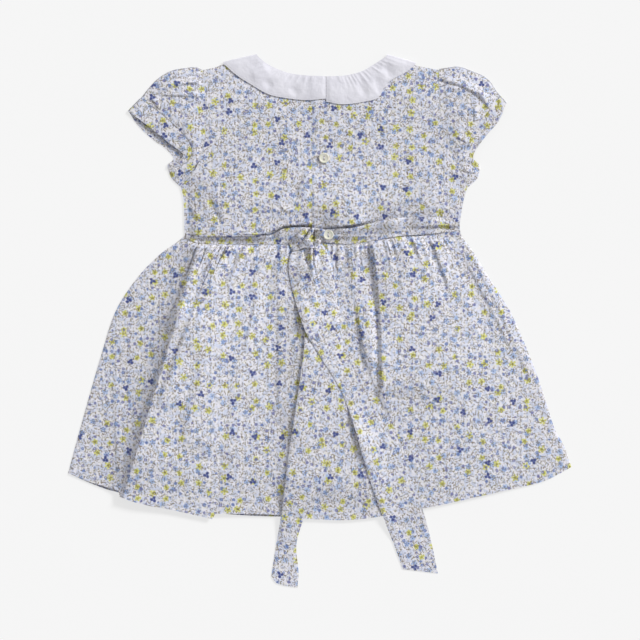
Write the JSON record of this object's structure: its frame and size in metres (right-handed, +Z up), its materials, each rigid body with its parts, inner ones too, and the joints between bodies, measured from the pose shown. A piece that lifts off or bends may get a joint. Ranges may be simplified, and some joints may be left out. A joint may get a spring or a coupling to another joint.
{
  "type": "toddler dress",
  "caption": "Toddler's puff-sleeved cotton dress laid flat, back side up: white frill collar, buttoned back opening and a tied back sash with two hanging tails.",
  "frame": {"origin": "centre of the footprint's bounding box, on the surface the dress lies on", "axes": "+Y from hem to neck, +X to the right as seen from above its back side, +Z up, out of its back side"},
  "size_m": [0.473, 0.5029, 0.012],
  "materials": {
    "printed_cotton": "plain-woven cotton with a small scattered flower print on a pale ground",
    "white_cotton": "plain-woven off-white cotton",
    "ivory_plastic": "pale cream button"
  },
  "bodies": {
    "root": {"bodice_front": "printed_cotton", "bodice_back_left": "printed_cotton", "bodice_back_right": "printed_cotton", "skirt_front": "printed_cotton", "skirt_back": "printed_cotton", "sleeve_left": "printed_cotton", "sleeve_right": "printed_cotton", "cuff_left": "printed_cotton", "cuff_right": "printed_cotton", "sash_left": "printed_cotton", "sash_right": "printed_cotton", "sash_knot": "printed_cotton", "tail_left": "printed_cotton", "tail_right": "printed_cotton", "collar": "white_cotton", "button_middle": "ivory_plastic", "button_waist": "ivory_plastic"}
  },
  "joints": []
}
